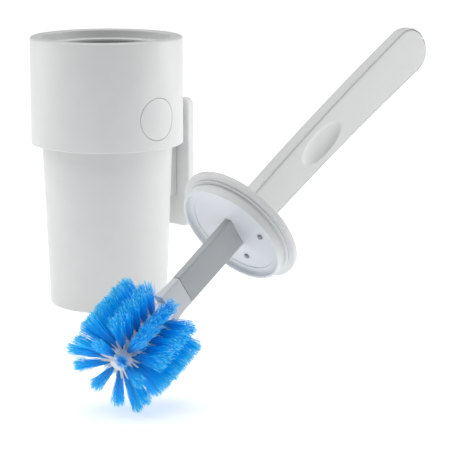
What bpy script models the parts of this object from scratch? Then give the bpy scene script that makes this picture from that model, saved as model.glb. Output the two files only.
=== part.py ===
"""Toilet brush holder with its brush: wall bracket, collar and cup, lid, handle, stem and bristle head.

Metres, +Z up. The origin is the middle of the cup's foot on the floor, the wall bracket is at +Y and
the round release button is at +X. The brush is built upright about its own axis, with the top of the
lid at z = 0 and the handle towards +Z, and is then laid beside the holder as it is shown at rest.
"""

import math

import bmesh
import bpy
from mathutils import Matrix

GAP = 0.0003
ROUND = 72
BORE_STEPS = 72

# Collar: the wide band around the top of the cup, and the mouth ring inside its top.
COLLAR_R = 0.0550
COLLAR_TOP = 0.1950
COLLAR_BOTTOM = 0.1180
COLLAR_SKIN = 0.0020
RIM_THICK = 0.0024
RECESS_WALL = 0.0021
RECESS_R = 0.0459
RECESS_DEPTH = 0.0060
BORE_R = 0.0384
LEDGE_THICK = 0.0022
LEDGE_Z = COLLAR_TOP - RECESS_DEPTH
RIB_COUNT = 8
RIB_WIDTH = 0.0024
RIB_LOW = 0.1232
RIB_HIGH = 0.1310

# Cup: tapers down from the collar to its foot.
FOOT_R = 0.0425
CUP_R_AT_COLLAR = 0.0472
CUP_WALL = 0.0022
CUP_FLOOR = 0.0030
CUP_TOP = LEDGE_Z - LEDGE_THICK - 0.0006
FOOT_ROUND = 0.0016
LUG_HEIGHT = 0.0040
LUG_REACH = 0.0030

# Release button in the collar's side.
BUTTON_R = 0.0150
BUTTON_Z = 0.1400
BUTTON_FLANGE_R = 0.0168
BUTTON_FLANGE = 0.0007

# Wall bracket behind the cup, with a T tongue that the cup's channel drops over.
BRACKET_HALF = 0.0265
BRACKET_FRONT = 0.0556
BRACKET_BACK = 0.0620
BRACKET_LOW = 0.0510
BRACKET_HIGH = 0.1470
BRACKET_CORNER = 0.0060
PAD_MARGIN = 0.0030
PAD_BACK = 0.0632
TONGUE_LOW = 0.0760
TONGUE_HIGH = 0.1102
TONGUE_NECK = 0.0058
TONGUE_HEAD = 0.0098
TONGUE_FRONT = 0.0482
TONGUE_STEP = 0.0510
CHANNEL_HALF = 0.0145
CHANNEL_LOW = 0.0740
CHANNEL_HIGH = 0.1135

# Lid of the brush, from its top down.
LID_R = 0.0420
LID_FLANGE = 0.0038
LID_EDGE = 0.0008
STEP_R = 0.0378
STEP_LOW = -0.0052
GROOVE_R = 0.0354
GROOVE_LOW = -0.0068
SKIRT_R = 0.0366
SKIRT_LOW = -0.0125
SKIRT_WALL = 0.0020
LID_CEILING = -0.0090

# Stem: the flat bar from inside the handle to the head.
STEM_WIDE = 0.0200
STEM_THICK = 0.0060
STEM_TOP = 0.0220
STEM_LOW = -0.0765
CLIP_AT = ((-0.0205, 0.0), (0.0, 0.0230))
CLIP_SIZE = 0.0024

# Handle: a tray behind and a cover in front.
HANDLE_LENGTH = 0.1850
HANDLE_FOOT_HALF = 0.0123
HANDLE_END_HALF = 0.0161
HANDLE_FOOT_THICK = 0.0115
HANDLE_END_THICK = 0.0090
HANDLE_WALL = 0.0018
COVER_THICK = 0.0024
COVER_INSET = 0.0012
HANDLE_BOW = 0.0110
HANDLE_RINGS = 26
END_RINGS = 9
RECESS_ALONG = 0.0770
RECESS_HALF_LENGTH = 0.0195
RECESS_HALF_WIDTH = 0.0085
RECESS_DIP = 0.0024
DIMPLE_MARGIN = 0.0012
DIMPLE_DROP = 0.0013
PIN_R = 0.0016
PIN_HEIGHTS = (0.0080, 0.0160)

# Head: socket, core with prongs, and ten rows of bristles.
SOCKET_TOP = -0.0620
SOCKET_LOW = -0.0795
TANG_WIDE = 0.0136
TANG_THICK = 0.0028
CORE_R = 0.0082
CORE_END = -0.1280
ROWS = 10
PRONG_RINGS = 5
PRONG_R = 0.0021
PRONG_REACH = 0.0118
ROW_INNER = 0.0123
BRISTLE_R = 0.0344
BRISTLE_TOP = -0.0805
DOME_CENTRE = -0.1222
DOME_TURN = math.radians(26.0)
ROW_THIN = 0.0036
ROW_THICK = 0.0070
ROW_TURN = math.radians(18.0)

# Rest place of the brush, beside the holder.
BRUSH_AT = (0.2280, -0.0887, 0.1025)
BRUSH_RISE = math.radians(34.3)
BRUSH_SPIN = math.radians(-90.0)
# A point on the axis about which the brush is carried upright over the holder.
CARRY_PIVOT = (-0.0345, -0.4893, 0.3308)

WHITE = (0.90, 0.91, 0.91, 1.0)
COOL_WHITE = (0.84, 0.86, 0.87, 1.0)
GREY = (0.62, 0.65, 0.68, 1.0)
STEEL = (0.55, 0.56, 0.58, 1.0)
FOAM = (0.80, 0.80, 0.78, 1.0)
BLUE = (0.02, 0.30, 0.80, 1.0)


def clear_scene():
    for item in list(bpy.data.objects):
        bpy.data.objects.remove(item, do_unlink=True)


def new_collection(name):
    made = bpy.data.collections.new(name)
    bpy.context.scene.collection.children.link(made)
    return made


def plain_material(name, colour, roughness):
    made = bpy.data.materials.new(name)
    made.use_nodes = True
    shader = made.node_tree.nodes["Principled BSDF"]
    shader.inputs["Base Color"].default_value = colour
    shader.inputs["Roughness"].default_value = roughness
    made.diffuse_color = colour
    return made


def mesh_of(name, points, faces):
    """A closed mesh with its normals facing out."""
    mesh = bpy.data.meshes.new(name)
    mesh.from_pydata(points, [], faces)
    work = bmesh.new()
    work.from_mesh(mesh)
    bmesh.ops.remove_doubles(work, verts=work.verts, dist=1e-6)
    bmesh.ops.recalc_face_normals(work, faces=work.faces)
    work.to_mesh(mesh)
    work.free()
    return mesh


def lathe(name, profile, steps=ROUND):
    """Turns a closed outline of (radius, z) about Z. A point with radius 0 lies on the axis."""
    points = []
    for step in range(steps):
        turn = 2 * math.pi * step / steps
        for radius, z in profile:
            points.append((radius * math.cos(turn), radius * math.sin(turn), z))
    count = len(profile)
    faces = []
    for step in range(steps):
        here = step * count
        there = ((step + 1) % steps) * count
        for k in range(count):
            after = (k + 1) % count
            on_axis = profile[k][0] == 0 and profile[after][0] == 0
            if on_axis:
                continue
            if profile[k][0] == 0:
                faces.append((here + k, there + after, here + after))
            elif profile[after][0] == 0:
                faces.append((here + k, there + k, here + after))
            else:
                faces.append((here + k, there + k, there + after, here + after))
    return mesh_of(name, points, faces)


def prism(name, outline, low, high, along="Z"):
    """Pushes an outline of two coordinates from low to high along one axis."""
    count = len(outline)
    points = []
    for level in (low, high):
        for a, b in outline:
            if along == "Z":
                points.append((a, b, level))
            elif along == "Y":
                points.append((a, level, b))
            else:
                points.append((level, a, b))
    faces = [tuple(range(count)), tuple(range(count, 2 * count))]
    for k in range(count):
        after = (k + 1) % count
        faces.append((k, after, count + after, count + k))
    return mesh_of(name, points, faces)


def rounded_rectangle(half_a, low_b, high_b, radius, steps=5):
    """Corners of a rectangle with round corners, anticlockwise."""
    outline = []
    corners = (
        (half_a - radius, low_b + radius, -90),
        (half_a - radius, high_b - radius, 0),
        (-half_a + radius, high_b - radius, 90),
        (-half_a + radius, low_b + radius, 180),
    )
    for a, b, start in corners:
        for step in range(steps + 1):
            turn = math.radians(start + 90 * step / steps)
            outline.append((a + radius * math.cos(turn), b + radius * math.sin(turn)))
    return outline


def box(name, x, y, z):
    """A box from three pairs of limits."""
    outline = [(x[0], y[0]), (x[1], y[0]), (x[1], y[1]), (x[0], y[1])]
    return prism(name, outline, z[0], z[1])


def circle(radius, middle=(0.0, 0.0), steps=24):
    outline = []
    for step in range(steps):
        turn = 2 * math.pi * step / steps
        outline.append((middle[0] + radius * math.cos(turn), middle[1] + radius * math.sin(turn)))
    return outline


def loft(name, rings):
    """Joins rings of equal length into one solid, closed at both ends."""
    count = len(rings[0])
    points = [point for ring in rings for point in ring]
    faces = [tuple(range(count)), tuple(range(len(points) - count, len(points)))]
    for level in range(len(rings) - 1):
        here = level * count
        for k in range(count):
            after = (k + 1) % count
            faces.append((here + k, here + after, here + count + after, here + count + k))
    return mesh_of(name, points, faces)


def merged(name, meshes):
    """One mesh that holds several separate solids."""
    work = bmesh.new()
    for mesh in meshes:
        work.from_mesh(mesh)
        bpy.data.meshes.remove(mesh)
    made = bpy.data.meshes.new(name)
    work.to_mesh(made)
    work.free()
    return made


def turned(mesh, angle, axis="Z"):
    mesh.transform(Matrix.Rotation(angle, 4, axis))
    return mesh


class Shop:
    """Holds the two collections, and adds parts and cutters to them."""

    def __init__(self):
        self.parts = new_collection("toilet_brush_holder")
        self.cutters = new_collection("cutters")

    def part(self, name, mesh, material):
        made = bpy.data.objects.new(name, mesh)
        made.data.materials.clear()
        made.data.materials.append(material)
        self.parts.objects.link(made)
        return made

    def tool(self, target, mesh, operation):
        """Cuts the mesh from the target, or joins it on, with a Boolean."""
        made = bpy.data.objects.new(mesh.name, mesh)
        self.cutters.objects.link(made)
        made.hide_render = True
        made.display_type = "WIRE"
        change = target.modifiers.new(mesh.name, "BOOLEAN")
        change.operation = operation
        change.solver = "EXACT"
        change.object = made
        return made


def cup_radius(z):
    """Outer radius of the cup at a height."""
    return FOOT_R + (CUP_R_AT_COLLAR - FOOT_R) * z / COLLAR_BOTTOM


def make_mouth_ring(shop, white):
    """The rim's flat top, the recess for the lid and the ledge that the lid sits on."""
    outer = COLLAR_R - COLLAR_SKIN - GAP
    under_rim = COLLAR_TOP - RIM_THICK
    profile = [
        (outer, under_rim),
        (outer, COLLAR_TOP),
        (RECESS_R + 0.0008, COLLAR_TOP),
        (RECESS_R, COLLAR_TOP - 0.0008),
        (RECESS_R, LEDGE_Z),
        (BORE_R, LEDGE_Z),
        (BORE_R, LEDGE_Z - LEDGE_THICK),
        (RECESS_R + RECESS_WALL, LEDGE_Z - LEDGE_THICK),
        (RECESS_R + RECESS_WALL, under_rim),
    ]
    return shop.part("mouth_ring", lathe("mouth_ring", profile), white)


def make_collar(shop, white):
    inner = COLLAR_R - COLLAR_SKIN
    profile = [
        (COLLAR_R, COLLAR_BOTTOM),
        (COLLAR_R, COLLAR_TOP - 0.0012),
        (COLLAR_R - 0.0004, COLLAR_TOP - 0.0004),
        (COLLAR_R - 0.0012, COLLAR_TOP),
        (inner, COLLAR_TOP),
        (inner, COLLAR_BOTTOM),
    ]
    collar = shop.part("collar", lathe("collar", profile), white)
    ribs = []
    for k in range(RIB_COUNT):
        reach = cup_radius(RIB_HIGH) + GAP
        rib = box("rib", (reach, inner + 0.0010), (-RIB_WIDTH / 2, RIB_WIDTH / 2), (RIB_LOW, RIB_HIGH))
        ribs.append(turned(rib, 2 * math.pi * (k + 0.5) / RIB_COUNT))
    shop.tool(collar, merged("collar_ribs", ribs), "UNION")
    hole = prism("button_hole", circle(BUTTON_R + GAP, (0.0, BUTTON_Z), 36), 0.045, 0.060, "X")
    shop.tool(collar, hole, "DIFFERENCE")
    return collar


def make_cup(shop, white):
    foot = FOOT_R - FOOT_ROUND
    outside = [
        (0.0, 0.0),
        (foot, 0.0),
        (FOOT_R - FOOT_ROUND * 0.3, FOOT_ROUND * 0.3),
        (FOOT_R, FOOT_ROUND),
        (cup_radius(CUP_TOP), CUP_TOP),
        (0.0, CUP_TOP),
    ]
    cup = shop.part("cup", lathe("cup", outside), white)
    lugs = []
    for k in range(RIB_COUNT):
        out = cup_radius(RIB_LOW) + LUG_REACH
        across = (-RIB_WIDTH / 2, RIB_WIDTH / 2)
        lug = box("lug", (0.044, out), across, (RIB_LOW - GAP - LUG_HEIGHT, RIB_LOW - GAP))
        lugs.append(turned(lug, 2 * math.pi * (k + 0.5) / RIB_COUNT))
    shop.tool(cup, merged("cup_lugs", lugs), "UNION")
    channel = box("channel", (-CHANNEL_HALF, CHANNEL_HALF), (0.036, BRACKET_FRONT - GAP), (CHANNEL_LOW, CHANNEL_HIGH))
    shop.tool(cup, channel, "UNION")
    inside = [
        (0.0, CUP_FLOOR),
        (FOOT_R - CUP_WALL - 0.0030, CUP_FLOOR),
        (FOOT_R - CUP_WALL - 0.0009, CUP_FLOOR + 0.0009),
        (FOOT_R - CUP_WALL, CUP_FLOOR + 0.0030),
        (cup_radius(CUP_TOP + 0.004) - CUP_WALL, CUP_TOP + 0.004),
        (0.0, CUP_TOP + 0.004),
    ]
    shop.tool(cup, lathe("cup_inside", inside, BORE_STEPS), "DIFFERENCE")
    slot = tongue_outline(GAP)
    shop.tool(cup, prism("channel_slot", slot, CHANNEL_LOW - 0.002, TONGUE_HIGH + GAP), "DIFFERENCE")
    return cup


def tongue_outline(play):
    """T shape of the bracket's tongue, grown by the play for the channel that takes it."""
    head = TONGUE_HEAD + play
    neck = TONGUE_NECK + play
    front = TONGUE_FRONT - play
    step = TONGUE_STEP + play
    back = BRACKET_FRONT + 0.001
    return [
        (-head, front),
        (head, front),
        (head, step),
        (neck, step),
        (neck, back),
        (-neck, back),
        (-neck, step),
        (-head, step),
    ]


def make_button(shop, white):
    """A piece of the collar's own wall, with a thin flange behind the wall."""
    skin_low = COLLAR_R - COLLAR_SKIN - 0.0004
    face = lathe("button_face", [(skin_low, 0.11), (COLLAR_R, 0.11), (COLLAR_R, 0.17), (skin_low, 0.17)], ROUND * 2)
    button = shop.part("release_button", face, white)
    disc = prism("button_disc", circle(BUTTON_R, (0.0, BUTTON_Z), 36), 0.040, 0.060, "X")
    shop.tool(button, disc, "INTERSECT")
    behind = skin_low - BUTTON_FLANGE
    back = skin_low + 0.0001
    ring = lathe("button_back", [(behind, 0.11), (back, 0.11), (back, 0.17), (behind, 0.17)], ROUND * 2)
    holder = shop.tool(button, ring, "UNION")
    rim = prism("button_rim", circle(BUTTON_FLANGE_R, (0.0, BUTTON_Z), 36), 0.040, 0.060, "X")
    shop.tool(holder, rim, "INTERSECT")
    return button


def make_bracket(shop, white, foam):
    outline = rounded_rectangle(BRACKET_HALF, BRACKET_LOW, BRACKET_HIGH, BRACKET_CORNER)
    plate = prism("wall_bracket", outline, BRACKET_FRONT, BRACKET_BACK, "Y")
    bracket = shop.part("wall_bracket", plate, white)
    shop.tool(bracket, prism("tongue", tongue_outline(0.0), TONGUE_LOW, TONGUE_HIGH), "UNION")
    half = BRACKET_HALF - PAD_MARGIN
    low = BRACKET_LOW + PAD_MARGIN
    high = BRACKET_HIGH - PAD_MARGIN
    pad_outline = rounded_rectangle(half, low, high, BRACKET_CORNER - PAD_MARGIN / 2)
    pad = prism("adhesive_pad", pad_outline, BRACKET_BACK + GAP / 3, PAD_BACK, "Y")
    return bracket, shop.part("adhesive_pad", pad, foam)


def make_lid(shop, white, cool, grey):
    top = [
        (0.0, -LID_FLANGE),
        (LID_R - 0.0005, -LID_FLANGE),
        (LID_R, -LID_FLANGE + 0.0005),
        (LID_R, -LID_EDGE),
        (LID_R - LID_EDGE * 0.3, -LID_EDGE * 0.3),
        (LID_R - LID_EDGE, 0.0),
        (0.0, 0.0),
    ]
    lid_top = shop.part("lid_top", lathe("lid_top", top), white)
    inner = SKIRT_R - SKIRT_WALL
    base = [
        (0.0, LID_CEILING),
        (inner, LID_CEILING),
        (inner, SKIRT_LOW + 0.0005),
        (inner + 0.0005, SKIRT_LOW),
        (SKIRT_R - 0.0006, SKIRT_LOW),
        (SKIRT_R, SKIRT_LOW + 0.0006),
        (SKIRT_R, GROOVE_LOW),
        (GROOVE_R, GROOVE_LOW),
        (GROOVE_R, STEP_LOW),
        (STEP_R, STEP_LOW),
        (STEP_R, -LID_FLANGE - GAP),
        (0.0, -LID_FLANGE - GAP),
    ]
    lid_base = shop.part("lid_base", lathe("lid_base", base), cool)
    slot = [
        (-STEM_WIDE / 2 - GAP, -STEM_THICK / 2 - GAP),
        (STEM_WIDE / 2 + GAP, -STEM_THICK / 2 - GAP),
        (STEM_WIDE / 2 + GAP, STEM_THICK / 2 + GAP),
        (-STEM_WIDE / 2 - GAP, STEM_THICK / 2 + GAP),
    ]
    clips = []
    holes = []
    for x, y in CLIP_AT:
        across = (x - CLIP_SIZE / 2, x + CLIP_SIZE / 2)
        thick = (y - CLIP_SIZE / 2, y + CLIP_SIZE / 2)
        clips.append(box("clip", across, thick, (LID_CEILING - 0.0012, -0.0016)))
        wide = (across[0] - GAP, across[1] + GAP)
        deep = (thick[0] - GAP, thick[1] + GAP)
        holes.append(box("clip_hole", wide, deep, (LID_CEILING - 0.003, -0.0016 + GAP)))
    lid_clips = [shop.part("lid_clip_%d" % (k + 1), clip, grey) for k, clip in enumerate(clips)]
    for number, lid in enumerate((lid_top, lid_base)):
        shop.tool(lid, prism("lid_slot_%d" % number, slot, -0.03, 0.03), "DIFFERENCE")
        copies = [hole.copy() for hole in holes]
        shop.tool(lid, merged("clip_holes_%d" % number, copies), "DIFFERENCE")
    for hole in holes:
        bpy.data.meshes.remove(hole)
    return [lid_top, lid_base] + lid_clips


def handle_half_width(z):
    """Half of the handle's width, widening from its foot and rounded off at its end."""
    share = z / HANDLE_LENGTH
    half = HANDLE_FOOT_HALF + (HANDLE_END_HALF - HANDLE_FOOT_HALF) * share
    start = HANDLE_LENGTH - HANDLE_END_HALF
    if z > start:
        past = (z - start) / HANDLE_END_HALF
        half *= math.sqrt(max(0.0, 1 - past ** 2.4))
    return half


def handle_thickness(z):
    return HANDLE_FOOT_THICK + (HANDLE_END_THICK - HANDLE_FOOT_THICK) * z / HANDLE_LENGTH


def handle_bow(z):
    """How far the handle curves forward at a height."""
    return HANDLE_BOW * (z / HANDLE_LENGTH) ** 2


def handle_levels(low, high):
    """Heights of the rings: even along the grip and closer together around the end."""
    start = HANDLE_LENGTH - HANDLE_END_HALF
    levels = []
    for k in range(HANDLE_RINGS):
        levels.append(low + (start - low) * k / HANDLE_RINGS)
    for k in range(END_RINGS + 1):
        levels.append(start + (high - start) * math.sin(math.pi / 2 * k / END_RINGS))
    return levels


def handle_solid(name, low, high, inset, back, front, radius, steps=3):
    """A slice of the handle between two depths, given as functions of height, with its sides drawn in."""
    rings = []
    for z in handle_levels(low, high):
        half = max(handle_half_width(min(z, HANDLE_LENGTH)) - inset, 0.0012)
        bow = handle_bow(z)
        round_off = min(radius, half * 0.6, (front(z) - back(z)) * 0.45)
        outline = rounded_rectangle(half, back(z) + bow, front(z) + bow, round_off, steps)
        rings.append([(x, y, z) for x, y in outline])
    return loft(name, rings)


def make_handle(shop, white, steel):
    def rear(z):
        return -handle_thickness(z) / 2

    def seam(z):
        return handle_thickness(z) / 2 - COVER_THICK

    def face(z):
        return handle_thickness(z) / 2

    low = GAP
    high = HANDLE_LENGTH - 0.0001
    tray = handle_solid("handle_back", low, high, 0.0, rear, lambda z: face(z) - 0.0006, 0.0026)
    back = shop.part("handle_back", tray, white)
    well = handle_solid(
        "handle_well",
        low + 0.0030,
        high - HANDLE_WALL,
        HANDLE_WALL,
        lambda z: rear(z) + HANDLE_WALL,
        lambda z: face(z) + 0.003,
        0.0008,
        1,
    )
    shop.tool(back, well, "DIFFERENCE")
    rebate = handle_solid(
        "handle_rebate",
        low - 0.002,
        high - COVER_INSET + GAP,
        COVER_INSET - GAP,
        lambda z: seam(z) - GAP,
        lambda z: face(z) + 0.003,
        0.0004,
        1,
    )
    shop.tool(back, rebate, "DIFFERENCE")
    cover = handle_solid("handle_front", low, high - COVER_INSET, COVER_INSET, seam, face, 0.0009)
    front = shop.part("handle_front", cover, white)
    shop.tool(front, thumb_dimple(seam), "UNION")
    shop.tool(front, thumb_recess(), "DIFFERENCE")
    stem_slot = box(
        "handle_slot",
        (-STEM_WIDE / 2 - GAP, STEM_WIDE / 2 + GAP),
        (-STEM_THICK / 2 - GAP, STEM_THICK / 2 + GAP),
        (-0.002, STEM_TOP + GAP),
    )
    shop.tool(back, stem_slot, "DIFFERENCE")
    pins = []
    for number, height in enumerate(PIN_HEIGHTS):
        name = "stem_pin_%d" % (number + 1)
        pin = prism(name, circle(PIN_R, (0.0, height), 16), rear(height) + 0.0005, seam(height) - 0.0007, "Y")
        pins.append(shop.part(name, pin, steel))
    holes = [prism("pin_hole", circle(PIN_R + GAP, (0.0, h), 16), -0.02, 0.02, "Y") for h in PIN_HEIGHTS]
    blind = [prism("pin_hole", circle(PIN_R + GAP, (0.0, h), 16), rear(h) - 0.002, 0.0, "Y") for h in PIN_HEIGHTS]
    shop.tool(back, merged("pin_holes_back", blind), "DIFFERENCE")
    return [back, front] + pins, merged("pin_holes_stem", holes)


def thumb_dimple(seam):
    """The oval under the cover that keeps the wall's thickness below the thumb recess."""
    rings = []
    for level, shrink in ((0.0008, 0.0), (-DIMPLE_DROP * 0.6, 0.0002), (-DIMPLE_DROP, 0.0010)):
        outline = []
        for step in range(28):
            turn = 2 * math.pi * step / 28
            across = (RECESS_HALF_WIDTH + DIMPLE_MARGIN - shrink) * math.sin(turn)
            z = RECESS_ALONG + (RECESS_HALF_LENGTH + DIMPLE_MARGIN - shrink) * math.cos(turn)
            outline.append((across, seam(z) + handle_bow(z) + level, z))
        rings.append(outline)
    return loft("thumb_dimple", rings)


def thumb_recess():
    """The oval dip in the handle's front face."""
    rings = []
    levels = 7
    for level in range(levels):
        depth = level / (levels - 1)
        size = math.sqrt(1 - (depth * 0.86) ** 2)
        outline = []
        for step in range(28):
            turn = 2 * math.pi * step / 28
            along = RECESS_HALF_LENGTH * size * math.cos(turn)
            across = RECESS_HALF_WIDTH * size * math.sin(turn)
            z = RECESS_ALONG + along
            surface = handle_thickness(z) / 2 + handle_bow(z)
            outline.append((across, surface - RECESS_DIP * depth, z))
        rings.append(outline)
    proud = [(x, y + 0.004, z) for x, y, z in rings[0]]
    return loft("thumb_recess", [proud] + rings)


def bar_outline():
    """Section of the stem, which the head's socket carries on."""
    return rounded_rectangle(STEM_WIDE / 2, -STEM_THICK / 2, STEM_THICK / 2, 0.0009, 2)


def make_stem(shop, cool, pin_holes):
    """The bar, with a narrow tang at its end for the head's socket."""
    stem = shop.part("stem", prism("stem", bar_outline(), SOCKET_TOP + GAP, STEM_TOP), cool)
    wide = (-TANG_WIDE / 2, TANG_WIDE / 2)
    thick = (-TANG_THICK / 2, TANG_THICK / 2)
    shop.tool(stem, box("tang", wide, thick, (STEM_LOW, SOCKET_TOP + 0.0010)), "UNION")
    shop.tool(stem, pin_holes, "DIFFERENCE")
    return stem


def make_socket(shop, cool):
    socket = shop.part("head_socket", prism("head_socket", bar_outline(), SOCKET_LOW, SOCKET_TOP), cool)
    wide = (-TANG_WIDE / 2 - GAP, TANG_WIDE / 2 + GAP)
    thick = (-TANG_THICK / 2 - GAP, TANG_THICK / 2 + GAP)
    shop.tool(socket, box("socket_slot", wide, thick, (STEM_LOW - GAP, SOCKET_TOP + 0.005)), "DIFFERENCE")
    return socket


def prong_levels():
    """Heights of the rings of prongs on the core."""
    first = BRISTLE_TOP - 0.0090
    last = CORE_END + 0.0050
    return [first + (last - first) * k / (PRONG_RINGS - 1) for k in range(PRONG_RINGS)]


def make_core(shop, white):
    top = SOCKET_LOW - GAP
    profile = [
        (0.0, CORE_END),
        (CORE_R * 0.70, CORE_END + 0.0006),
        (CORE_R, CORE_END + 0.0030),
        (CORE_R, top),
        (0.0, top),
    ]
    core = shop.part("head_core", lathe("head_core", profile, 40), white)
    prongs = []
    for z in prong_levels():
        for row in range(ROWS):
            prong = prism("prong", circle(PRONG_R, (0.0, z), 8), CORE_R - 0.0015, PRONG_REACH, "X")
            prongs.append(turned(prong, ROW_TURN + 2 * math.pi * row / ROWS))
    shop.tool(core, merged("prongs", prongs), "UNION")
    return core


def row_outline():
    """Side view of one row of bristles, as (radius, z)."""
    outline = [(ROW_INNER, BRISTLE_TOP - 0.0030), (BRISTLE_R, BRISTLE_TOP)]
    steps = 8
    for step in range(steps + 1):
        turn = DOME_TURN * step / steps
        outline.append((BRISTLE_R * math.cos(turn), DOME_CENTRE - BRISTLE_R * math.sin(turn)))
    outline.append((ROW_INNER, CORE_END - 0.0040))
    return outline


def row_half_thickness(radius):
    share = (radius - ROW_INNER) / (BRISTLE_R - ROW_INNER)
    return 0.5 * (ROW_THIN + (ROW_THICK - ROW_THIN) * min(1.0, max(0.0, share)))


def make_rows(shop, blue):
    rows = []
    for row in range(ROWS):
        outline = row_outline()
        near = [(r, -row_half_thickness(r), z) for r, z in outline]
        far = [(r, row_half_thickness(r), z) for r, z in outline]
        name = "bristle_row_%02d" % (row + 1)
        mesh = turned(loft(name, [near, far]), ROW_TURN + 2 * math.pi * row / ROWS)
        rows.append(shop.part(name, mesh, blue))
    return rows


def lay_brush(shop, pieces):
    """Puts the upright brush in its rest place, under an empty on the axis it is carried about."""
    pivot = bpy.data.objects.new("brush_pivot", None)
    pivot.location = CARRY_PIVOT
    shop.parts.objects.link(pivot)
    lean = Matrix.Rotation(BRUSH_RISE - math.pi / 2, 4, "X")
    place = Matrix.Translation(BRUSH_AT) @ lean @ Matrix.Rotation(BRUSH_SPIN, 4, "Z")
    to_pivot = Matrix.Translation(CARRY_PIVOT).inverted()
    for piece in pieces:
        piece.parent = pivot
        piece.matrix_parent_inverse = to_pivot
        piece.matrix_basis = place
        for change in piece.modifiers:
            change.object.matrix_basis = place


def main():
    clear_scene()
    shop = Shop()
    white = plain_material("white_plastic", WHITE, 0.35)
    cool = plain_material("cool_white_plastic", COOL_WHITE, 0.40)
    grey = plain_material("grey_plastic", GREY, 0.45)
    steel = plain_material("steel", STEEL, 0.30)
    foam = plain_material("foam_tape", FOAM, 0.80)
    blue = plain_material("blue_bristle", BLUE, 0.45)
    make_collar(shop, white)
    make_mouth_ring(shop, white)
    make_cup(shop, white)
    make_button(shop, white)
    make_bracket(shop, white, foam)
    brush = make_lid(shop, white, cool, grey)
    handle, pin_holes = make_handle(shop, white, steel)
    brush += handle
    brush.append(make_stem(shop, cool, pin_holes))
    brush.append(make_socket(shop, cool))
    brush.append(make_core(shop, white))
    brush += make_rows(shop, blue)
    lay_brush(shop, brush)


main()
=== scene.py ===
"""Looks of the toilet brush holder and its brush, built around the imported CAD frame.

Metres. The holder is drawn in the frame's own axes. The brush is drawn upright about its own axis, with
the top of the lid at z = 0 and the handle towards +Z, and is then laid in its rest place beside the holder.
"""

import math
import random

import bmesh
import bpy
from mathutils import Matrix, Vector


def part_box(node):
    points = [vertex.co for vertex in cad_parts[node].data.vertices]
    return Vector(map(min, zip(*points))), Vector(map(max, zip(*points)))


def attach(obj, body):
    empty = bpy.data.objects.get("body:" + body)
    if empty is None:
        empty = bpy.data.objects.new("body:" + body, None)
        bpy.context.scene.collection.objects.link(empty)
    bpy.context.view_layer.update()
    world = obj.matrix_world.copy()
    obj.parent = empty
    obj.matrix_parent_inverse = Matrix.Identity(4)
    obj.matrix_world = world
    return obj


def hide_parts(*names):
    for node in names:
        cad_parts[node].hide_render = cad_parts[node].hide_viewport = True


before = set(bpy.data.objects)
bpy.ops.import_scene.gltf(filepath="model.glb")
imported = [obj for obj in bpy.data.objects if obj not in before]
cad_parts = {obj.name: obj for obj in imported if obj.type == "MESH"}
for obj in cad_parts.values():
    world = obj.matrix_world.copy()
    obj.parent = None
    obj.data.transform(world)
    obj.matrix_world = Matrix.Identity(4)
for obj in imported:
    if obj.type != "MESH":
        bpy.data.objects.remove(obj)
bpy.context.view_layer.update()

GAP = 0.0003
LATHE_STEPS = 168
SHARP_ANGLE = math.radians(38.0)

# Holder, from the CAD nodes.
COLLAR_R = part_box("collar")[1].x
COLLAR_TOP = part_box("collar")[1].z
COLLAR_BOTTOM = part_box("collar")[0].z
COLLAR_SKIN = 0.0020
RIM_THICK = 0.0024
RECESS_R = 0.0459
RECESS_WALL = 0.0021
LEDGE_Z = COLLAR_TOP - 0.0060
LEDGE_THICK = 0.0022
BORE_R = 0.0384
RIB_COUNT = 8
RIB_WIDTH = 0.0024
RIB_LOW = 0.1232
RIB_HIGH = 0.1310
FOOT_R = 0.0425
CUP_R_AT_COLLAR = 0.0472
CUP_WALL = 0.0022
CUP_FLOOR = 0.0030
CUP_TOP = LEDGE_Z - LEDGE_THICK - 0.0006
FOOT_RING = 0.0070
FOOT_RISE = 0.0011
LUG_HEIGHT = 0.0040
LUG_REACH = 0.0030
LUG_ROOT_R = 0.0455
BUTTON_R = 0.0150
BUTTON_Z = 0.1400
BUTTON_SEAM = 0.0003
BUTTON_EDGE = 0.0003
BUTTON_FLANGE_R = 0.0168
BUTTON_BACK = 0.0523
BUTTON_PLAY = 0.0004
BUTTON_STEPS = 96
BRACKET_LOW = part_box("wall_bracket")[0].z
BRACKET_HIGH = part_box("wall_bracket")[1].z
BRACKET_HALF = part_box("wall_bracket")[1].x
BRACKET_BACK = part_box("wall_bracket")[1].y
BRACKET_FRONT = 0.0556
BRACKET_CORNER = 0.0060
TONGUE_LOW = 0.0760
TONGUE_HIGH = 0.1102
TONGUE_NECK = 0.0058
TONGUE_HEAD = 0.0098
TONGUE_FRONT = 0.0482
TONGUE_STEP = 0.0510
CHANNEL_HALF = 0.0145
CHANNEL_LOW = 0.0740
CHANNEL_HIGH = 0.1135
CHANNEL_ROOT_R = 0.0449

# Brush, upright about its own axis.
LID_R = 0.0420
LID_FLANGE = 0.0038
STEP_R = 0.0378
STEP_LOW = -0.0052
GROOVE_R = 0.0354
GROOVE_LOW = -0.0068
SKIRT_R = 0.0366
SKIRT_LOW = -0.0125
SKIRT_WALL = 0.0020
LID_CEILING = -0.0090
STEM_WIDE = 0.0200
STEM_THICK = 0.0060
STEM_ROUND = 0.0011
STEM_TOP = 0.0220
CLIP_AT = ((-0.0205, 0.0), (0.0, 0.0230))
CLIP_SIZE = 0.0024
HANDLE_LENGTH = 0.1850
HANDLE_FOOT_HALF = 0.0123
HANDLE_END_HALF = 0.0161
HANDLE_FOOT_THICK = 0.0115
HANDLE_END_THICK = 0.0090
HANDLE_WALL = 0.0018
COVER_THICK = 0.0024
COVER_INSET = 0.0012
COVER_EDGE = 0.0010
COVER_CROWN = 0.00025
TRAY_ROUND = 0.0030
TRAY_LIP = 0.00035
TIP_CUT = 0.00004
HANDLE_BOW = 0.0110
RECESS_ALONG = 0.0770
RECESS_HALF_LENGTH = 0.0195
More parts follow.
